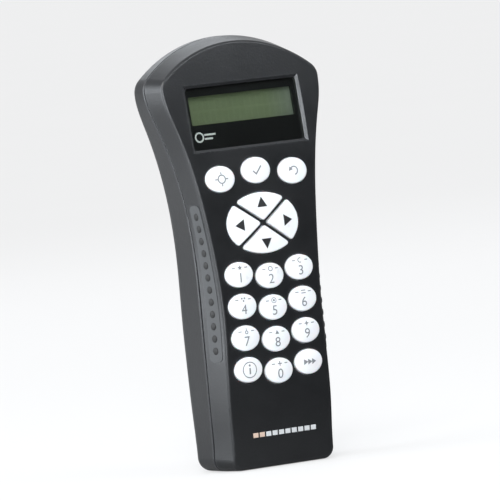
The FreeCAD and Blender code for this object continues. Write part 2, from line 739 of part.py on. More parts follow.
def cavity_middle(jack):
    """Y of the middle of a socket's cavity."""
    return BOARD_BACK + jack[1] / 2 + CAVITY_RISE


def socket(jack, cavity):
    """A modular socket: a block with the plug's cavity and a stepped slot for the plug's latch."""
    width, height, depth, x = jack
    block = box((x - width / 2, x + width / 2), (BOARD_BACK, BOARD_BACK + height),
                (JACK_RECESS, JACK_RECESS + depth))
    middle = cavity_middle(jack)
    half = cavity[1] / 2
    cuts = [box((x - cavity[0] / 2, x + cavity[0] / 2), (middle - half, middle + half), (-OVER, CAVITY_END))]
    for wide, deep in (LATCH, LATCH_STEP):
        cuts.append(box((x - wide / 2, x + wide / 2), (middle - half - deep, middle), (-OVER, LATCH_END)))
    return block.cut(cuts)


def make_socket_contacts():
    """Sprung wires in the sockets, slanting in from the back of each cavity."""
    wires = []
    for jack, cavity, count in ((CORD_JACK, CORD_CAVITY, CORD_CONTACTS),
                                (COMPUTER_JACK, COMPUTER_CAVITY, COMPUTER_CONTACTS)):
        wall = cavity_middle(jack) + cavity[1] / 2
        for i in range(count):
            x = jack[3] + CONTACT_PITCH * (i - (count - 1) / 2)
            start, end = [Vector(x, wall - drop, z) for drop, z in zip(CONTACT_DROP, CONTACT_Z)]
            wires.append(Part.makeCylinder(CONTACT_R, (end - start).Length, start, end - start))
    return Part.makeCompound(wires)


# ---- screws and label -----------------------------------------------------------------------------

def screw(head, shank_r, length):
    """A pan-head screw along +Y, seat at the origin, with a cross recess in its head."""
    head_r, head_h = head
    top = rod(head_r, 0, 0, 0.0, head_h)
    top = top.makeFillet(head_h * 0.4, edges_on_back(top, head_h))
    shank = rod(shank_r, 0, 0, shank_r - length, 0.0)
    point = Part.makeCone(shank_r, SCREW_TIP_R, shank_r, Vector(0, shank_r - length, 0), -ALONG_Y)
    slot = (head_r * 0.28, head_r * 1.2)
    bars = [plate(size, head_h * 0.4, head_h + OVER) for size in (slot, slot[::-1])]
    return fused([top, shank, point]).cut(bars)


def make_case_screws():
    screws = []
    for x, z in both_sides(CASE_SCREW_AT):
        seat = BACK_Y - HEAD_SINK
        one = screw(CASE_HEAD, CASE_SHANK_R - CLEAR, seat - joint_y(z) + CASE_THREAD)
        one.translate(Vector(x, seat, z))
        screws.append(one)
    return Part.makeCompound(screws)


def make_board_screws():
    screws = []
    for x, z in both_sides(BOARD_SCREW_AT):
        one = screw(BOARD_HEAD, BOARD_SHANK_R - CLEAR, BOARD_SCREW_LENGTH)
        one.translate(Vector(x, BOARD_BACK, z))
        screws.append(one)
    for x, h in both_sides(LCD_SCREW_AT):
        one = screw(BOARD_HEAD, BOARD_SHANK_R - CLEAR, BOARD_SCREW_LENGTH)
        one.translate(Vector(x, LCD_SEAT + FIT + BOARD_T, h))
        screws.append(tilted(one))
    return Part.makeCompound(screws)


def make_back_label():
    size = (LABEL[0] - 2 * LABEL_GAP, LABEL[1] - 2 * LABEL_GAP)
    front = BACK_Y - LABEL_T - LABEL_SINK
    return rounded_plate(size, LABEL_R - LABEL_GAP, front, front + LABEL_T, LABEL_Z)


# ---- build --------------------------------------------------------------------------------------

def all_parts():
    """Every node's name and shape."""
    yield "front_shell", make_front_shell()
    yield "rear_shell", make_rear_shell()
    yield "grip_left", grip_solid(-1, GRIP_SUNK, GRIP_PROUD, 0.0)
    yield "grip_right", grip_solid(1, GRIP_SUNK, GRIP_PROUD, 0.0)
    yield "display_window", make_display_window()
    yield "window_mask", make_window_mask()
    yield "lcd_bezel", make_lcd_bezel()
    yield "lcd_glass", make_lcd_glass()
    yield "lcd_light_guide", make_lcd_light_guide()
    yield "lcd_board", make_lcd_board()
    yield "lcd_ribbon", make_lcd_ribbon()
    yield "main_board", make_main_board()
    yield "key_mat", make_key_mat()
    yield "key_lights", make_key_lights()
    yield "chips", make_chips()
    yield "capacitors", make_capacitors()
    yield "cord_socket", socket(CORD_JACK, CORD_CAVITY)
    yield "computer_socket", socket(COMPUTER_JACK, COMPUTER_CAVITY)
    yield "socket_contacts", make_socket_contacts()
    yield "case_screws", make_case_screws()
    yield "board_screws", make_board_screws()
    yield "back_label", make_back_label()
    for name, (x, z, width, height) in round_keys().items():
        yield name, make_round_key(x, z, width, height)
        yield name + "_contact", make_pill(x, z)
    for name, (x, z, direction) in arrow_keys().items():
        yield name, make_arrow_key(x, z, direction)
        yield name + "_contact", make_pill(x, z)


def main():
    os.makedirs(PARTS, exist_ok=True)
    for name, shape in all_parts():
        print(name, len(shape.Solids), "solids, valid", shape.isValid(), flush=True)
        shape.exportStep(os.path.join(PARTS, name + ".step"))


main()
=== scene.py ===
"""Looks of a telescope hand controller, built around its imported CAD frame. Units are metres."""

import json
import math

import bmesh
import bpy
from mathutils import Matrix, Quaternion, Vector
from mathutils.bvhtree import BVHTree


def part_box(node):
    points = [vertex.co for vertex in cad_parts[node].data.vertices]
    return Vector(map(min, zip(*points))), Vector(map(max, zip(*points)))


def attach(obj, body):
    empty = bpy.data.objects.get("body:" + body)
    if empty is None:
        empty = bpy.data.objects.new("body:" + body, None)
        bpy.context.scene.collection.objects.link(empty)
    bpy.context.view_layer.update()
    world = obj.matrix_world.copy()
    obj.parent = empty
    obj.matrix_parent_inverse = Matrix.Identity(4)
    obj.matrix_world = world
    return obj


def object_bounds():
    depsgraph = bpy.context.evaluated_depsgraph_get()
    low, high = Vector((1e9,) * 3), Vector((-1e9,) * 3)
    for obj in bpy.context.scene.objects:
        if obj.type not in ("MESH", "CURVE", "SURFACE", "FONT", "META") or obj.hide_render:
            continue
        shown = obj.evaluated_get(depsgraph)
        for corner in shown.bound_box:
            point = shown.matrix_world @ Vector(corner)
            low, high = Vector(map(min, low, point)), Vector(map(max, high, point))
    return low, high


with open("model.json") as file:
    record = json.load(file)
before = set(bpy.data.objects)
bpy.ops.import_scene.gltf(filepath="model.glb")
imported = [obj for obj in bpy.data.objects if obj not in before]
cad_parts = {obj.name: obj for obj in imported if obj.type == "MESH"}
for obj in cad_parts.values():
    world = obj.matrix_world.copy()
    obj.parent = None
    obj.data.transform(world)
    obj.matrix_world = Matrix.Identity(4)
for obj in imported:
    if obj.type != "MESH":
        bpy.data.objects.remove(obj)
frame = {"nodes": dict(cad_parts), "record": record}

MM = 0.001
CAD_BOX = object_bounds()
NODES = frame["nodes"]
BODIES = frame["record"]["behaviour"]["bodies"]
BODY_OF = {node: body for body, nodes in BODIES.items() for node in nodes}
SLOT_OF = {row["node"]: row["material_slot"] for row in frame["record"]["subparts"]}


# ---- material helpers ------------------------------------------------------------------------------

NOISE_LOW, NOISE_HIGH = 0.3, 0.7    # where nearly all of a noise's values lie
EDGE_SAMPLES = 4
EDGE_NONE, EDGE_FULL = 0.995, 0.93  # cosines of the turn between the true and the rounded surface


class Shader:
    """A node material with short calls for the nodes that every finish here uses."""

    def __init__(self, name):
        self.material = bpy.data.materials.new(name)
        self.material.use_nodes = True
        self.tree = self.material.node_tree
        self.bsdf = self.tree.nodes["Principled BSDF"]
        self.output = self.tree.nodes["Material Output"]
        self.place = self.add("ShaderNodeTexCoord").outputs["Object"]

    def add(self, kind, **values):
        """Adds a node and sets its properties."""
        node = self.tree.nodes.new(kind)
        for key, value in values.items():
            setattr(node, key, value)
        return node

    def link(self, start, end):
        self.tree.links.new(start, end)

    def put(self, target, value):
        """Sets a socket to a value, or links another socket to it."""
        if isinstance(value, bpy.types.NodeSocket):
            self.link(value, target)
        elif isinstance(value, (tuple, list)) and len(value) == 3 and target.type == "RGBA":
            target.default_value = (*value, 1.0)
        else:
            target.default_value = value

    def surface(self, **inputs):
        """Sets inputs of the main shader. Underscores in the names stand for spaces."""
        for key, value in inputs.items():
            self.put(self.bsdf.inputs[key.replace("_", " ")], value)

    def noise(self, size, detail, roughness=0.55, stretch=(1, 1, 1), seed=0.0):
        """Noise whose features are about size metres across."""
        mapping = self.add("ShaderNodeMapping")
        mapping.inputs["Scale"].default_value = stretch
        mapping.inputs["Location"].default_value = (seed, seed * 0.7, seed * 1.3)
        self.link(self.place, mapping.inputs["Vector"])
        node = self.add("ShaderNodeTexNoise")
        node.inputs["Scale"].default_value = 1.0 / size
        node.inputs["Detail"].default_value = detail
        node.inputs["Roughness"].default_value = roughness
        self.link(mapping.outputs["Vector"], node.inputs["Vector"])
        return node.outputs["Fac"]

    def cells(self, size, feature="F1"):
        """Distances in a pattern of cells that are about size metres across."""
        node = self.add("ShaderNodeTexVoronoi", feature=feature)
        node.inputs["Scale"].default_value = 1.0 / size
        self.link(self.place, node.inputs["Vector"])
        return node.outputs["Distance"]

    def spread(self, value, low, high, out_low=0.0, out_high=1.0):
        """Maps a value from one range onto another, clamped."""
        node = self.add("ShaderNodeMapRange")
        self.put(node.inputs["Value"], value)
        set_ranges(node, low, high, out_low, out_high)
        return node.outputs["Result"]

    def vary(self, noise, low, high):
        """Turns a noise into values from low to high."""
        return self.spread(noise, NOISE_LOW, NOISE_HIGH, low, high)

    def blend(self, share, first, second):
        """Mixes two colours."""
        node = self.add("ShaderNodeMix", data_type="RGBA")
        self.put(node.inputs["Factor"], share)
        self.put(node.inputs[6], first)     # 6, 7 and 2 are the node's colour sockets
        self.put(node.inputs[7], second)
        return node.outputs[2]

    def math(self, operation, first, second=0.0):
        node = self.add("ShaderNodeMath", operation=operation)
        self.put(node.inputs[0], first)
        self.put(node.inputs[1], second)
        return node.outputs[0]

    def bump(self, height, distance, strength, below=None):
        """Relief of a depth in metres, laid over another relief if below is given."""
        node = self.add("ShaderNodeBump")
        node.inputs["Strength"].default_value = strength
        node.inputs["Distance"].default_value = distance
        self.put(node.inputs["Height"], height)
        if below is not None:
            self.link(below, node.inputs["Normal"])
        return node.outputs["Normal"]

    def edges(self, radius):
        """1 on convex and concave edges, 0 on open surface."""
        rounded = self.add("ShaderNodeBevel", samples=EDGE_SAMPLES)
        rounded.inputs["Radius"].default_value = radius
        shape = self.add("ShaderNodeNewGeometry")
        dot = self.add("ShaderNodeVectorMath", operation="DOT_PRODUCT")
        self.link(rounded.outputs["Normal"], dot.inputs[0])
        self.link(shape.outputs["Normal"], dot.inputs[1])
        return self.spread(dot.outputs["Value"], EDGE_NONE, EDGE_FULL)

    def mix_shaders(self, share, first, second):
        node = self.add("ShaderNodeMixShader")
        self.put(node.inputs["Fac"], share)
        self.link(first, node.inputs[1])
        self.link(second, node.inputs[2])
        return node.outputs["Shader"]

    def finish_with(self, shader):
        self.link(shader, self.output.inputs["Surface"])

    def axis(self, name, vector=None):
        """One axis of a vector, or of the shaded point's place if no vector is given."""
        split = self.add("ShaderNodeSeparateXYZ")
        self.link(vector or self.place, split.inputs["Vector"])
        return split.outputs[name]


def set_ranges(node, low, high, out_low, out_high):
    """Sets a map-range node to turn low to high into out_low to out_high."""
    for key, number in (("From Min", low), ("From Max", high), ("To Min", out_low), ("To Max", out_high)):
        node.inputs[key].default_value = number


def grey(value):
    return (value, value, value)


def shaded(color, share):
    return tuple(channel * share for channel in color)


# ---- finishes --------------------------------------------------------------------------------------

ACRYLIC_IOR = 1.49
WINDOW_CLEAR = (0.793, 0.811, 0.793)    # what each of the window's two faces lets through
INK_LIGHTER = 1.12
METAL_TARNISH = 0.72        # how dark tarnish leaves a metal, as a share of its colour
MOULDED_DRIFT = 0.78        # the same for the slow tone changes of a moulded part

# The display's idle characters, as (across, up)
LCD_PITCH = (2.95 * MM, 5.55 * MM)
LCD_COLUMNS = 16
LCD_EDGE = (0.10, 0.08)     # clear edge of a character, as a share of its pitch
LCD_DOTS = (6.25, 9.5)      # dots to one pitch
LCD_DOT_GAP = (0.16, 0.14)  # clear share of each dot
LCD_GREY_FROM, LCD_GREY_TO = 0.24, 0.48     # where the right end turns grey, as shares of the width


def case_plastic():
    """Near-black plastic with a spark-eroded texture, polished by handling along its edges, which are also
    painted lighter as a painted highlight.
    """
    s = Shader("case_plastic")
    grain = s.noise(0.8 * MM, 5.0, 0.62)
    pits = s.cells(1.1 * MM)
    smudge = s.noise(17 * MM, 3.0, 0.6, seed=0.3)
    edge = s.edges(1.5 * MM)
    polish_and_highlight = s.math("MULTIPLY", edge, s.spread(s.noise(6 * MM, 4.0, 0.7), 0.35, 0.65, 0.5, 1.0))
    base = s.blend(smudge, (0.0038, 0.0042, 0.0048), (0.0062, 0.0066, 0.0074))
    # Lighter colour along the edges: a painted highlight. The lower roughness there is real polish.
    base = s.blend(s.math("MULTIPLY", polish_and_highlight, 0.5), base, (0.060, 0.062, 0.066))
    rough = s.vary(smudge, 0.33, 0.42)
    rough = s.math("ADD", rough, s.vary(grain, -0.04, 0.04))
    rough = s.math("SUBTRACT", rough, s.math("MULTIPLY", polish_and_highlight, 0.16))
    fine = s.bump(grain, 0.06 * MM, 0.6)
    normal = s.bump(pits, 0.05 * MM, 0.4, below=fine)
    s.surface(Base_Color=base, Roughness=rough, Normal=normal, Specular_IOR_Level=0.45)
    return s.material


def key_plastic():
    """Smooth white plastic, a little translucent, with faint handling marks, and painted shade darkening its
    edges.
    """
    s = Shader("key_plastic")
    haze = s.noise(5 * MM, 4.0, 0.6)
    speck = s.noise(0.6 * MM, 3.0, 0.6, seed=1.7)
    base = s.blend(haze, (0.62, 0.63, 0.64), (0.68, 0.69, 0.70))
    # Darker along convex and concave edges: painted shade.
    base = s.blend(s.math("MULTIPLY", s.edges(0.5 * MM), 0.18), base, (0.55, 0.55, 0.54))
    s.surface(Base_Color=base, Roughness=s.vary(haze, 0.26, 0.38), Normal=s.bump(speck, 0.012 * MM, 0.5),
              Subsurface_Weight=0.12, Subsurface_Scale=0.8 * MM, Coat_Weight=0.15, Coat_Roughness=0.2)
    return s.material


def rubber(name, dark, pale):
    """Matte rubber with a bloom of dust in its pores."""
    s = Shader(name)
    pores = s.noise(0.35 * MM, 4.0, 0.7)
    bloom = s.noise(7 * MM, 4.0, 0.6)
    base = s.blend(bloom, dark, pale)
    s.surface(Base_Color=base, Roughness=s.vary(bloom, 0.58, 0.74),
              Normal=s.bump(pores, 0.04 * MM, 0.5), Specular_IOR_Level=0.42)
    return s.material


def window():
    """Lightly smoked acrylic with faint wipe marks. Its sides are painted dark and matte, as painted shade.

    Rays go straight through, so each face mirrors as much of the light as an outer face would.
    """
    s = Shader("window")
    wipes = s.noise(14 * MM, 1.5, 0.5, stretch=(1, 1, 3))
    gloss = s.add("ShaderNodeBsdfGlossy")
    s.put(gloss.inputs["Color"], (0.95, 0.97, 1.0))
    s.put(gloss.inputs["Roughness"], s.vary(wipes, 0.03, 0.055))
    clear = s.add("ShaderNodeBsdfTransparent")
    s.put(clear.inputs["Color"], WINDOW_CLEAR)
    fresnel = s.add("ShaderNodeFresnel")
    leaving = s.add("ShaderNodeNewGeometry").outputs["Backfacing"]
    way = s.math("SUBTRACT", 1.0, s.math("MULTIPLY", leaving, 2.0))     # 1 going in, -1 coming out
    s.put(fresnel.inputs["IOR"], s.math("POWER", ACRYLIC_IOR, way))
    pane = s.mix_shaders(fresnel.outputs["Fac"], clear.outputs["BSDF"], gloss.outputs["BSDF"])
    # The dark colour of the pane's sides is painted shade.
    s.surface(Base_Color=(0.012, 0.013, 0.012), Roughness=0.6)
    facing = s.axis("Y", s.add("ShaderNodeNewGeometry").outputs["True Normal"])
    side = s.math("LESS_THAN", s.math("ABSOLUTE", facing), 0.5)
    s.finish_with(s.mix_shaders(side, pane, s.bsdf.outputs["BSDF"]))
    return s.material


def ink(name, color, rough):
    """A thin printed film, very slightly uneven in tone."""
    s = Shader(name)
    tone = s.noise(1.2 * MM, 4.0, 0.6)
    s.surface(Base_Color=s.blend(tone, color, shaded(color, INK_LIGHTER)),
              Roughness=s.vary(tone, rough - 0.01, rough + 0.02))
    return s.material


def lcd_cell():
    """Grey-green liquid-crystal cell with a faint grid of idle character cells."""
    s = Shader("lcd_glass")
    low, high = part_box("lcd_glass")
    centre, width = (low + high) / 2, high.x - low.x
    across = s.math("SUBTRACT", s.axis("X"), centre.x)
    up = s.math("SUBTRACT", s.axis("Z"), centre.z)
    dots = idle_dots(s, across, up)
    tone = s.noise(9 * MM, 3.0, 0.5)
    base = s.blend(tone, (0.170, 0.210, 0.116), (0.198, 0.238, 0.140))
    greyer = s.spread(across, LCD_GREY_FROM * width, LCD_GREY_TO * width)
    base = s.blend(greyer, base, (0.205, 0.235, 0.190))
    base = s.blend(s.math("MULTIPLY", dots, 0.20), base, (0.075, 0.092, 0.053))
    grain = s.noise(0.25 * MM, 2.0)
    s.surface(Base_Color=base, Roughness=0.34, Normal=s.bump(grain, 0.006 * MM, 0.3), Specular_IOR_Level=0.4)
    return s.material


def idle_dots(s, across, up):
    """1 in the dots of the display's idle characters, 0 between them."""
    dots = s.math("LESS_THAN", s.math("ABSOLUTE", across), LCD_COLUMNS / 2 * LCD_PITCH[0])
    for place, pitch, edge, count, gap in zip((across, up), LCD_PITCH, LCD_EDGE, LCD_DOTS, LCD_DOT_GAP):
        share = s.math("FRACT", s.math("DIVIDE", place, pitch))
        in_dot = s.math("FRACT", s.math("MULTIPLY", share, count))
        for rule, value, limit in (("GREATER_THAN", share, edge), ("LESS_THAN", share, 1 - edge),
                                   ("GREATER_THAN", in_dot, gap)):
            dots = s.math("MULTIPLY", dots, s.math(rule, value, limit))
    return dots


def metal(name, color, rough):
    """Metal with fine lines left by rolling or turning, and slight tarnish."""
    s = Shader(name)
    lines = s.noise(1.5 * MM, 4.0, 0.6, stretch=(1, 1, 12))
    tarnish = s.noise(4 * MM, 4.0, 0.6, seed=2.2)
    s.surface(Base_Color=s.blend(tarnish, shaded(color, METAL_TARNISH), color), Metallic=1.0,
              Roughness=s.vary(lines, rough - 0.08, rough + 0.10), Normal=s.bump(lines, 0.012 * MM, 0.4))
    return s.material


def circuit_board():
    """Green solder mask over copper tracks, with a fine weave below."""
    s = Shader("circuit_board")
    tracks = s.spread(s.cells(2.4 * MM, "DISTANCE_TO_EDGE"), 0.05, 0.09)
    weave = s.noise(0.4 * MM, 2.0, 0.5, stretch=(1, 1, 3))
    base = s.blend(tracks, (0.030, 0.150, 0.055), (0.012, 0.080, 0.032))
    base = s.blend(s.math("MULTIPLY", weave, 0.25), base, (0.05, 0.16, 0.07))
    s.surface(Base_Color=base, Roughness=0.36, Normal=s.bump(tracks, 0.03 * MM, 0.5), Coat_Weight=0.3)
    return s.material


def moulded(name, color, rough, glow=0.0):
    """A plainly moulded plastic or rubber: fine pores and slow tone changes. Glow is how milky it is."""
    s = Shader(name)
    pores = s.noise(0.4 * MM, 4.0, 0.6)
    drift = s.noise(6 * MM, 3.0, 0.6, seed=0.9)
    s.surface(Base_Color=s.blend(drift, shaded(color, MOULDED_DRIFT), color),
              Roughness=s.vary(drift, rough - 0.06, rough + 0.08), Normal=s.bump(pores, 0.03 * MM, 0.45),
              Subsurface_Weight=glow, Subsurface_Scale=1.0 * MM)
    return s.material


def label_film():
    """Satin silver-grey film, brushed along its width."""
    s = Shader("label_film")
    brush = s.noise(1.0 * MM, 4.0, 0.7, stretch=(0.08, 1, 4))
    scuff = s.noise(11 * MM, 4.0, 0.7, seed=5.1)
    base = s.blend(brush, (0.30, 0.305, 0.31), (0.40, 0.405, 0.41))
    s.surface(Base_Color=base, Metallic=0.55, Roughness=s.vary(scuff, 0.30, 0.46),
              Normal=s.bump(brush, 0.01 * MM, 0.4))
    return s.material


def make_materials():
    """Every material by name. The CAD nodes' material slots have the same names."""
    return {
        "case_plastic": case_plastic(),
        "key_plastic": key_plastic(),
        "grip_rubber": rubber("grip_rubber", (0.026, 0.027, 0.028), (0.052, 0.054, 0.056)),
        "stud_rubber": rubber("stud_rubber", (0.007, 0.007, 0.007), (0.013, 0.013, 0.013)),
        "window": window(),
        "mask_ink": ink("mask_ink", (0.004, 0.004, 0.0045), 0.3),
        "bezel_steel": metal("bezel_steel", (0.10, 0.10, 0.105), 0.42),
        "lcd_glass": lcd_cell(),
        "light_guide": moulded("light_guide", (0.50, 0.62, 0.42), 0.30, glow=0.2),
        "circuit_board": circuit_board(),
        "ribbon": moulded("ribbon", (0.68, 0.62, 0.50), 0.45),
        "mat_rubber": moulded("mat_rubber", (0.52, 0.52, 0.50), 0.62, glow=0.2),
        "red_lens": moulded("red_lens", (0.50, 0.01, 0.01), 0.22),
        "chip_black": moulded("chip_black", (0.022, 0.022, 0.023), 0.55),
        "capacitor_can": metal("capacitor_can", (0.62, 0.62, 0.64), 0.30),
        "socket_plastic": moulded("socket_plastic", (0.020, 0.020, 0.021), 0.42),
        "contact_metal": metal("contact_metal", (0.90, 0.66, 0.25), 0.25),
        "screw_steel": metal("screw_steel", (0.16, 0.16, 0.17), 0.38),
        "label_film": label_film(),
        "carbon_rubber": moulded("carbon_rubber", (0.014, 0.014, 0.014), 0.7),
        "legend_ink": ink("legend_ink", (0.15, 0.155, 0.165), 0.42),
        "dark_ink": ink("dark_ink", (0.012, 0.012, 0.013), 0.42),
        "pale_ink": ink("pale_ink", (0.44, 0.45, 0.455), 0.42),
        "white_ink": ink("white_ink", (0.80, 0.81, 0.82), 0.42),
        "warm_ink": ink("warm_ink", (0.47, 0.35, 0.28), 0.42),
    }


# ---- printing: thin shapes laid on a surface -------------------------------------------------------

FILM_PROUD = 0.03 * MM
FILM_SUNK = 0.05 * MM
BEHIND_GLASS_PROUD = 0.012 * MM     # less than the gap between the mask and the window
FILM_GRID = 0.7 * MM
JOIN_DISTANCE = 1e-4 * MM
SPECK_DISTANCE = 10 * JOIN_DISTANCE
FRONT, BACK = -1, 1
WELL_OUT = 60 * MM                  # a distance clear of the object, where rays start
CAP_HEIGHT = 0.72                   # of the built-in typeface, for a size of 1
DIGIT_RESOLUTION = 6


def surface_tree(name):
    """A search tree over the faces of a CAD node."""
    mesh = NODES[name].data
    return BVHTree.FromPolygons([v.co.copy() for v in mesh.vertices], [p.vertices[:] for p in mesh.polygons])


def flat_bmesh(polygons):
    """A flat mesh from lists of (x, z) points in millimetres."""
    bm = bmesh.new()
    for polygon in polygons:
        bm.faces.new([bm.verts.new((x * MM, 0.0, z * MM)) for x, z in polygon])
    return bm


def digit_bmesh(text, height):
    """A digit in the built-in typeface, centred, height in millimetres."""
    curve = bpy.data.curves.new("digit", "FONT")
    curve.body = text
    curve.size = height / CAP_HEIGHT * MM
    curve.resolution_u = DIGIT_RESOLUTION
    holder = bpy.data.objects.new("digit", curve)
    bpy.context.scene.collection.objects.link(holder)
    bpy.context.view_layer.update()
    outline = holder.evaluated_get(bpy.context.evaluated_depsgraph_get())
    mesh = bpy.data.meshes.new_from_object(outline)
    bpy.data.objects.remove(holder)
    bpy.data.curves.remove(curve)
    bm = bmesh.new()
    bm.from_mesh(mesh)
    bpy.data.meshes.remove(mesh)
    xs = [v.co.x for v in bm.verts]
    ys = [v.co.y for v in bm.verts]
    middle_x, middle_y = (min(xs) + max(xs)) / 2, (min(ys) + max(ys)) / 2
    for v in bm.verts:
        v.co = Vector((v.co.x - middle_x, 0.0, v.co.y - middle_y))
    return bm


def merge(target, extra, shift):
    """Adds one flat mesh to another, moved by shift in millimetres."""
    mesh = bpy.data.meshes.new("part")
    extra.transform(Matrix.Translation((shift[0] * MM, 0.0, shift[1] * MM)))
    extra.to_mesh(mesh)
    extra.free()
    target.from_mesh(mesh)
    bpy.data.meshes.remove(mesh)


def cut_up(bm):
    """Cuts a flat mesh along an even grid, so that it can follow a curved surface."""
    for index, normal in ((0, (1, 0, 0)), (2, (0, 0, 1))):
        low = min(v.co[index] for v in bm.verts)
        high = max(v.co[index] for v in bm.verts)
        cuts = int((high - low) / FILM_GRID)
        for i in range(1, cuts + 1):
            point = Vector((0, 0, 0))
            point[index] = low + (high - low) * i / (cuts + 1)
            geometry = bm.verts[:] + bm.edges[:] + bm.faces[:]
            bmesh.ops.bisect_plane(bm, geom=geometry, plane_co=point, plane_no=normal)


def print_on(name, bm, centre, tree, body, material, facing=FRONT, proud=FILM_PROUD):
    """Lays a flat mesh on a surface seen from the front or back, as a closed film, and makes it a piece."""
    bmesh.ops.remove_doubles(bm, verts=bm.verts, dist=JOIN_DISTANCE)
    cut_up(bm)
    bmesh.ops.dissolve_degenerate(bm, dist=SPECK_DISTANCE, edges=bm.edges[:])
    bmesh.ops.triangulate(bm, faces=bm.faces[:])
    grown = bmesh.ops.extrude_face_region(bm, geom=bm.faces[:])
    fresh = {part for part in grown["geom"] if isinstance(part, bmesh.types.BMVert)}
    for v in bm.verts:
        start = Vector((v.co.x + centre[0], facing * WELL_OUT, v.co.z + centre[1]))
        hit, _, _, _ = tree.ray_cast(start, Vector((0, -facing, 0)))
        v.co = hit + Vector((0, facing * (proud if v in fresh else -FILM_SUNK), 0))
    bmesh.ops.recalc_face_normals(bm, faces=bm.faces[:])
    make_piece(name, bm, body, material)


def make_piece(name, bm, body, material):
    """Turns a mesh into a piece that rides on a body, and frees it."""
    mesh = bpy.data.meshes.new(name)
    bm.to_mesh(mesh)
    bm.free()
    mesh.materials.append(material)
    piece = bpy.data.objects.new(name, mesh)
    bpy.context.scene.collection.objects.link(piece)
    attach(piece, body)


# ---- flat shapes, as lists of polygons of (x, z) points in millimetres -----------------------------

ARC_STEP = 15.0             # degrees
DISC_SIDES = 20
ARROW_HEAD_REACH = 0.9      # how far an arrow head runs on, as a share of its width
TRIANGLE_HEIGHT = 0.88      # as a share of its width


def turn(points, angle):
    """Points turned about the origin by an angle in degrees."""
    c, s = math.cos(math.radians(angle)), math.sin(math.radians(angle))
    return [(x * c - z * s, x * s + z * c) for x, z in points]


def rectangle(half_x, half_z):
    """The corners of a rectangle about the origin."""
    return [(-half_x, -half_z), (half_x, -half_z), (half_x, half_z), (-half_x, half_z)]


def bar(width, height, x=0.0, z=0.0):
    return [[(px + x, pz + z) for px, pz in rectangle(width / 2, height / 2)]]


def disc(radius, x=0.0, z=0.0):
    angles = [math.tau * i / DISC_SIDES for i in range(DISC_SIDES)]
    return [[(x + radius * math.cos(a), z + radius * math.sin(a)) for a in angles]]


def stroke(path, width):
    """A line of even width along a path, with mitred corners, as a row of four-sided polygons."""
    ways = []
    for (x0, z0), (x1, z1) in zip(path, path[1:]):
        length = math.hypot(x1 - x0, z1 - z0)
        ways.append(((z0 - z1) / length, (x1 - x0) / length))
    pairs = []
    for (x, z), (ax, az), (bx, bz) in zip(path, ways[:1] + ways, ways + ways[-1:]):
        reach = width / 2 / (1 + ax * bx + az * bz)
        across, up = (ax + bx) * reach, (az + bz) * reach
        pairs.append(((x - across, z - up), (x + across, z + up)))
    return [[a, b, d, c] for (a, b), (c, d) in zip(pairs, pairs[1:])]


def arc(radius, start=0.0, end=360.0, x=0.0, z=0.0):
    """Points along part of a circle."""
    count = max(3, int(abs(end - start) / ARC_STEP))
    angles = [math.radians(start + (end - start) * i / count) for i in range(count + 1)]
    return [(x + radius * math.cos(a), z + radius * math.sin(a)) for a in angles]


def ring(radius, width, x=0.0, z=0.0):
    """A ring of an even width. The radius is to the middle of that width."""
    inner, outer = arc(radius - width / 2, x=x, z=z), arc(radius + width / 2, x=x, z=z)
    return [[a, b, d, c] for a, b, c, d in zip(inner, outer, inner[1:], outer[1:])]


def arrow_head(radius, angle, size):
    """A triangle that ends an arc, with its base across the arc's end."""
    (x, z), = turn([(1.0, 0.0)], angle)
    near, far = radius - size / 2, radius + size / 2
    reach = size * ARROW_HEAD_REACH
    tip = (x * radius - z * reach, z * radius + x * reach)
    return [[(x * near, z * near), (x * far, z * far), tip]]


def star(radius, points=5, waist=0.45):
    """A star with one point up. Waist is its inner radius, as a share of the outer one."""
    outline = []
    for i in range(points * 2):
        reach = radius if i % 2 == 0 else radius * waist
        angle = math.pi / 2 + math.pi * i / points
        outline.append((reach * math.cos(angle), reach * math.sin(angle)))
    return [[(0.0, 0.0), outline[i], outline[(i + 1) % len(outline)]] for i in range(len(outline))]


def triangle(size, angle=0.0):
    """A triangle of a given width, pointing up until it is turned."""
    height = size * TRIANGLE_HEIGHT
    return [turn([(-size / 2, -height / 2), (size / 2, -height / 2), (0.0, height / 2)], angle)]


# ---- legends ---------------------------------------------------------------------------------------

# Sizes and places on a key are in millimetres from its middle
DIGIT_HEIGHT = 4.2
DIGIT_Z = -1.25
PICTURE_Z = 2.95
DASH = (1.5, 0.42)          # one on each side of a small picture
DASH_X = 3.1
ARROW_SIZE = 5.0
ARROW_OUT = 0.66            # the arrows' places, as shares of the way out from the pad's centre
ARROW_TURN = {"arrow_up_key": 0, "arrow_left_key": 90, "arrow_down_key": 180, "arrow_right_key": -90}

# Small pictures above the digits, up to about 1.3 mm from their middles
PICTURES = {
    "key_0": bar(2.0, 0.42) + bar(0.42, 0.79, z=0.605) + bar(0.42, 0.79, z=-0.605),
    "key_1": star(1.2),
    "key_2": ring(0.95, 0.38),
    "key_3": stroke(arc(0.95, 60, 300), 0.38),
    "key_4": disc(0.42, -0.65, 0.5) + disc(0.42, 0.65, 0.5) + disc(0.42, 0.0, -0.6),
    "key_5": disc(0.5) + ring(1.1, 0.3),
    "key_6": bar(2.2, 0.42, z=0.55) + bar(2.2, 0.42, z=-0.55),
    "key_7": ring(0.62, 0.36, z=-0.45) + bar(0.36, 0.95, z=0.825),
    "key_8": triangle(2.0),
    "key_9": star(1.25, 4, 0.38),
}
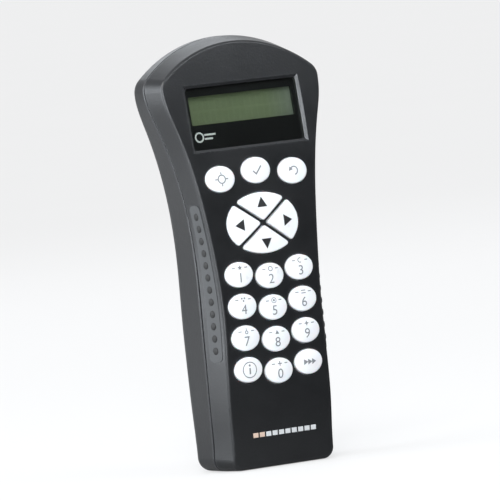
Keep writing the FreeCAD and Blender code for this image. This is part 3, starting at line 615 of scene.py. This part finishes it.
# Larger pictures on the other keys, apart from the arrows
SYMBOLS = {
    "align_key": ring(1.75, 0.5) + bar(1.2, 0.5, x=-2.65) + bar(1.2, 0.5, x=2.65)
                 + bar(0.5, 0.95, z=2.525) + bar(0.5, 0.95, z=-2.525),
    "enter_key": stroke([(-2.2, -0.1), (-0.75, -1.5), (2.1, 1.8)], 0.62),
    "undo_key": stroke(arc(1.75, -80, 135), 0.55) + arrow_head(1.75, 135, 2.0),
    "info_key": disc(0.5, 0, 1.9) + bar(0.72, 2.7, z=-0.5) + ring(3.3, 0.42),
    "rate_key": [[(x - 1.05, -1.25), (x + 1.05, 0.0), (x - 1.05, 1.25)] for x in (-1.9, 0.1, 2.1)],
}


def middle(name):
    """(x, z) of the middle of a node, seen from the front."""
    low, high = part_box(name)
    return (low.x + high.x) / 2, (low.z + high.z) / 2


def legends(materials):
    """What is printed on the keys: digits with small pictures above them, pictures, and arrows."""
    ink_film = materials["legend_ink"]
    dashes = bar(*DASH, x=-DASH_X) + bar(*DASH, x=DASH_X)
    for name, picture in PICTURES.items():
        bm = bmesh.new()
        merge(bm, digit_bmesh(name[-1], DIGIT_HEIGHT), (0.0, DIGIT_Z))
        merge(bm, flat_bmesh(picture + dashes), (0.0, PICTURE_Z))
        print_on(f"{name}_legend", bm, middle(name), surface_tree(name), BODY_OF[name], ink_film)
    for name, symbol in SYMBOLS.items():
        bm = flat_bmesh(symbol)
        print_on(f"{name}_legend", bm, middle(name), surface_tree(name), BODY_OF[name], ink_film)
    pad_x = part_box("arrow_right_key")[1].x
    pad_z = (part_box("arrow_down_key")[0].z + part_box("arrow_up_key")[1].z) / 2
    pad_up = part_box("arrow_up_key")[1].z - pad_z
    for name, angle in ARROW_TURN.items():
        (x, z), = turn([(0.0, ARROW_OUT)], angle)
        bm = flat_bmesh(triangle(ARROW_SIZE, angle))
        place = (x * pad_x, pad_z + z * pad_up)
        print_on(f"{name}_legend", bm, place, surface_tree(name), BODY_OF[name], materials["dark_ink"])


# ---- marks on the case, the window and the label, in millimetres -----------------------------------

MARK_Z = 14.3
MARK_SPAN = (-15.0, 17.0)
MARK_DASHES = 10
MARK_WARM = 2               # how many of the dashes are of the warmer ink
MARK_DASH = (2.5, 2.0)
WINDOW_MARK = ring(1.9, 0.7, x=-3.0) + bar(5.6, 0.75, x=2.3, z=0.85) + bar(4.0, 0.75, x=1.5, z=-0.85)
WINDOW_MARK_AT = (7.2, 5.6)     # from the window's lower left corner
LABEL_MARGIN = 1.2
LABEL_LINE = 0.3
LABEL_INDENT = 3.2
LABEL_STEP = 3.2
LABEL_BAR_HEIGHT = 1.1
LABEL_BARS = (0.85, 0.60, 0.72, 0.40)   # lengths, as shares of the room inside the frame
LABEL_RULES = 3


def front_marks(materials):
    """A row of plain dashes low on the front, where a maker would print a name."""
    shell = surface_tree("front_shell")
    low, high = MARK_SPAN
    places = [low + (high - low) * (i + 0.5) / MARK_DASHES for i in range(MARK_DASHES)]
    for tone, xs in (("warm", places[:MARK_WARM]), ("pale", places[MARK_WARM:])):
        dashes = [bar(*MARK_DASH, x=x, z=MARK_Z)[0] for x in xs]
        film = materials[f"{tone}_ink"]
        print_on(f"front_mark_{tone}", flat_bmesh(dashes), (0.0, 0.0), shell, "case", film)


def window_mark(materials):
    """A ring and two bars on the mask behind the window, at its lower left."""
    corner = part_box("display_window")[0]
    spot = (corner.x + WINDOW_MARK_AT[0] * MM, corner.z + WINDOW_MARK_AT[1] * MM)
    print_on("window_mark", flat_bmesh(WINDOW_MARK), spot, surface_tree("window_mask"), "case",
             materials["white_ink"], proud=BEHIND_GLASS_PROUD)


def label_marks(materials):
    """A thin frame, bars and rules on the back label, where a maker would print its data."""
    low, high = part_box("back_label")
    half_x = (high.x - low.x) / 2 / MM - LABEL_MARGIN
    half_z = (high.z - low.z) / 2 / MM - LABEL_MARGIN
    room = half_x - LABEL_INDENT
    outer, inner = rectangle(half_x, half_z), rectangle(half_x - LABEL_LINE, half_z - LABEL_LINE)
    shapes = [[outer[i - 1], outer[i], inner[i], inner[i - 1]] for i in range(4)]
    for i, share in enumerate(LABEL_BARS):
        length = share * 2 * room
        shapes += bar(length, LABEL_BAR_HEIGHT, room - length / 2, half_z - LABEL_INDENT - i * LABEL_STEP)
    for i in range(LABEL_RULES):
        shapes += bar(2 * room, LABEL_LINE, 0.0, -half_z + LABEL_INDENT + i * LABEL_STEP)
    print_on("back_label_marks", flat_bmesh(shapes), middle("back_label"), surface_tree("back_label"), "case",
             materials["dark_ink"], facing=BACK)


# ---- grips -----------------------------------------------------------------------------------------

STUD_PITCH = 5.2 * MM
STUD_HALF = (1.25 * MM, 1.55 * MM)  # across and along the strip
STUD_HEIGHT = 0.5 * MM
STUD_SUNK = 0.25 * MM
STUD_MARGIN = 3.0 * MM      # at least this from the strip's ends to the middles of the end studs
STUD_RINGS, STUD_SIDES = 5, 20
STRIP_RAYS = 60
STRIP_SIDE = 0.75           # a face that looks more along Y than this is the strip's side, not its top


def grip_studs(side, outward, materials):
    """A row of low oval studs standing on a grip strip, whose outer surface looks along outward in X."""
    name = f"grip_{side}"
    low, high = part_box(name)
    tree = surface_tree(name)
    gaps = int((high.z - low.z - 2 * STUD_MARGIN) / STUD_PITCH)
    bm = bmesh.new()
    for i in range(gaps + 1):
        z = (low.z + high.z) / 2 + (i - gaps / 2) * STUD_PITCH
        point, normal = middle_of_strip(tree, low, high, z, outward)
        add_stud(bm, point, normal)
    bmesh.ops.recalc_face_normals(bm, faces=bm.faces[:])
    make_piece(f"{name}_studs", bm, "case", materials["stud_rubber"])


def middle_of_strip(tree, low, high, z, outward):
    """A point half way across a strip's outer surface at a height, and the way it faces."""
    hits = []
    for i in range(STRIP_RAYS + 1):
        y = low.y + (high.y - low.y) * i / STRIP_RAYS
        point, normal, _, _ = tree.ray_cast(Vector((outward * WELL_OUT, y, z)), Vector((-outward, 0, 0)))
        if point is not None and abs(normal.y) < STRIP_SIDE:
            hits.append((point, normal))
    point, normal = hits[len(hits) // 2]
    return point, normal if normal.x * outward > 0 else -normal


def add_stud(bm, point, normal):
    """A closed oval dome, longer along the strip, with its foot sunk into the surface."""
    up = (Vector((0, 0, 1)) - normal * normal.z).normalized()
    side = normal.cross(up)
    turns = [math.tau * i / STUD_SIDES for i in range(STUD_SIDES)]
    layers = []
    for r in range(-1, STUD_RINGS):
        angle = math.pi / 2 * max(r, 0) / STUD_RINGS
        rise = STUD_HEIGHT * math.sin(angle) if r >= 0 else -STUD_SUNK
        centre = point + normal * rise
        across = side * STUD_HALF[0] * math.cos(angle)
        along = up * STUD_HALF[1] * math.cos(angle)
        layers.append([bm.verts.new(centre + across * math.cos(t) + along * math.sin(t)) for t in turns])
    top = bm.verts.new(point + normal * STUD_HEIGHT)
    for i in range(STUD_SIDES):
        for a, b in zip(layers, layers[1:]):
            bm.faces.new((a[i - 1], a[i], b[i], b[i - 1])).smooth = True
        bm.faces.new((layers[-1][i - 1], layers[-1][i], top)).smooth = True
    bm.faces.new(layers[0][::-1])


# ---- carried-over nodes ----------------------------------------------------------------------------

def dress(materials):
    """Gives each CAD node the material that its slot names."""
    for name, node in NODES.items():
        node.data.materials.clear()
        node.data.materials.append(materials[SLOT_OF[name]])


# ---- studio ----------------------------------------------------------------------------------------

KEY_FROM = (-0.45, -0.55, 0.70)
KEY_STRENGTH = 1.9
KEY_ANGLE = 30.0                # degrees
# Offset from the object's middle, width, height and power
SOFTBOXES = {
    "light_left": ((-1.5, 0.15, 0.32), 1.3, 1.2, 40.0),
    "light_strip": ((-0.85, -1.35, 0.20), 0.26, 1.1, 24.0),
    "light_high": ((0.38, -0.62, 0.52), 0.40, 0.20, 2.5),
    "light_back": ((0.5, 1.4, 1.2), 1.0, 1.0, 7.0),
}
SOFTBOX_COLOR = (0.90, 0.95, 1.0)

FLOOR_RADIUS, FLOOR_SIDES = 60.0, 64
FLOOR_Z = -0.3 * MM
FLOOR_TONES = (0.63, 0.65)
FLOOR_BOUNCE = (0.62, 0.07)     # left and right, as the object sees the floor
FLOOR_FADE = (-0.15, 0.10)      # from where to where along X the one turns into the other
FLOOR_GLOW = 0.93
FLOOR_EVENED = 0.65             # how much of the floor, as the camera sees it, is an even glow

ROOM_SEEN = (0.90, 0.90, 0.91)
ROOM_COLOR = (0.95, 0.97, 1.0)
ROOM_LIGHT, DARK_LIGHT = 0.80, 0.03
DARK_SIDE = (0.51, -0.85, -0.05)
DARK_FROM, DARK_TO = 0.62, 0.88     # cosines of the angle from the dark side's middle


def lights():
    """A wide key light and softboxes, all aimed at the object."""
    sun = bpy.data.lights.new("light_key", "SUN")
    sun.energy = KEY_STRENGTH
    sun.angle = math.radians(KEY_ANGLE)
    place_light(sun, KEY_FROM)
    for name, (offset, width, height, power) in SOFTBOXES.items():
        light = bpy.data.lights.new(name, "AREA")
        light.shape = "RECTANGLE"
        light.size, light.size_y = width, height
        light.energy = power
        light.color = SOFTBOX_COLOR
        place_light(light, offset)


def floor():
    """A pale, wide floor just below the object."""
    mesh = bpy.data.meshes.new("floor")
    bm = bmesh.new()
    bmesh.ops.create_circle(bm, cap_ends=True, segments=FLOOR_SIDES, radius=FLOOR_RADIUS)
    bm.to_mesh(mesh)
    bm.free()
    mesh.materials.append(floor_material())
    plane = bpy.data.objects.new("floor", mesh)
    plane.location.z = FLOOR_Z
    bpy.context.scene.collection.objects.link(plane)


def floor_material():
    """Pale and evened out to the camera, and gone when the camera looks from below.

    Less light comes back from its right than from its left, which keeps the object's front black.
    """
    s = Shader("floor")
    pale = s.blend(s.noise(0.4, 3.0), grey(FLOOR_TONES[0]), grey(FLOOR_TONES[1]))
    seen = s.add("ShaderNodeLightPath").outputs["Is Camera Ray"]
    bounced = s.blend(s.spread(s.axis("X"), *FLOOR_FADE), grey(FLOOR_BOUNCE[0]), grey(FLOOR_BOUNCE[1]))
    s.surface(Base_Color=s.blend(seen, bounced, pale), Roughness=1.0, Specular_IOR_Level=0.0)
    glow = s.add("ShaderNodeEmission")
    s.put(glow.inputs["Color"], grey(FLOOR_GLOW))
    share = s.math("MULTIPLY", seen, FLOOR_EVENED)
    evened = s.mix_shaders(share, s.bsdf.outputs["BSDF"], glow.outputs["Emission"])
    eye = s.add("ShaderNodeVectorTransform", vector_type="POINT", convert_from="CAMERA", convert_to="WORLD")
    eye.inputs["Vector"].default_value = (0.0, 0.0, 0.0)
    below = s.math("LESS_THAN", s.axis("Z", eye.outputs["Vector"]), 0.0)
    clear = s.add("ShaderNodeBsdfTransparent")
    s.finish_with(s.mix_shaders(below, evened, clear.outputs["BSDF"]))
    return s.material


def surroundings():
    """A pale room to the camera. Round the object it is dark on one side, which keeps the front black."""
    world = bpy.data.worlds.new("studio")
    world.use_nodes = True
    bpy.context.scene.world = world
    tree = world.node_tree
    nodes = tree.nodes
    seen, lit = nodes["Background"], nodes.new("ShaderNodeBackground")
    seen.inputs["Color"].default_value = (*ROOM_SEEN, 1.0)
    place = nodes.new("ShaderNodeTexCoord")
    toward = nodes.new("ShaderNodeVectorMath")
    toward.operation = "DOT_PRODUCT"
    toward.inputs[1].default_value = Vector(DARK_SIDE).normalized()
    tree.links.new(place.outputs["Generated"], toward.inputs[0])
    shade = nodes.new("ShaderNodeMapRange")
    shade.interpolation_type = "SMOOTHSTEP"
    set_ranges(shade, DARK_FROM, DARK_TO, ROOM_LIGHT, DARK_LIGHT)
    tree.links.new(toward.outputs["Value"], shade.inputs["Value"])
    tree.links.new(shade.outputs["Result"], lit.inputs["Strength"])
    lit.inputs["Color"].default_value = (*ROOM_COLOR, 1.0)
    path = nodes.new("ShaderNodeLightPath")
    mix = nodes.new("ShaderNodeMixShader")
    tree.links.new(path.outputs["Is Camera Ray"], mix.inputs["Fac"])
    tree.links.new(lit.outputs["Background"], mix.inputs[1])
    tree.links.new(seen.outputs["Background"], mix.inputs[2])
    tree.links.new(mix.outputs["Shader"], nodes["World Output"].inputs["Surface"])


def place_light(data, offset):
    """Puts a light at an offset from the object's middle, facing it and hidden from the camera."""
    light = bpy.data.objects.new(data.name, data)
    light.location = (CAD_BOX[0] + CAD_BOX[1]) / 2 + Vector(offset)
    light.rotation_mode = "QUATERNION"
    light.rotation_quaternion = (-Vector(offset)).to_track_quat("-Z", "Y")
    light.visible_camera = False
    bpy.context.scene.collection.objects.link(light)


# ---- camera ----------------------------------------------------------------------------------------

AZIMUTH, ELEVATION, ROLL = -31.0, 2.9, 5.7      # degrees
DISTANCE = 2.7
FRAME_HEIGHT = 0.213        # what the frame spans at the object
SENSOR = 36.0               # millimetres
CLIP_START, CLIP_END = 0.1, 200.0


def camera():
    """A long lens on the object's middle, a little from the left and above."""
    centre = (CAD_BOX[0] + CAD_BOX[1]) / 2
    a, e = math.radians(AZIMUTH), math.radians(ELEVATION)
    back = Vector((math.sin(a) * math.cos(e), -math.cos(a) * math.cos(e), math.sin(e)))
    data = bpy.data.cameras.new("camera")
    data.sensor_width = SENSOR
    data.lens = SENSOR * DISTANCE / FRAME_HEIGHT
    data.clip_start, data.clip_end = CLIP_START, CLIP_END
    eye = bpy.data.objects.new("camera", data)
    eye.location = centre + back * DISTANCE
    eye.rotation_mode = "QUATERNION"
    eye.rotation_quaternion = (-back).to_track_quat("-Z", "Y") @ Quaternion((0, 0, 1), -math.radians(ROLL))
    bpy.context.scene.collection.objects.link(eye)
    bpy.context.scene.camera = eye


finishes = make_materials()
dress(finishes)
legends(finishes)
front_marks(finishes)
window_mark(finishes)
label_marks(finishes)
grip_studs("left", -1.0, finishes)
grip_studs("right", 1.0, finishes)
floor()
surroundings()
lights()
camera()
bpy.context.scene.view_settings.view_transform = "Standard"
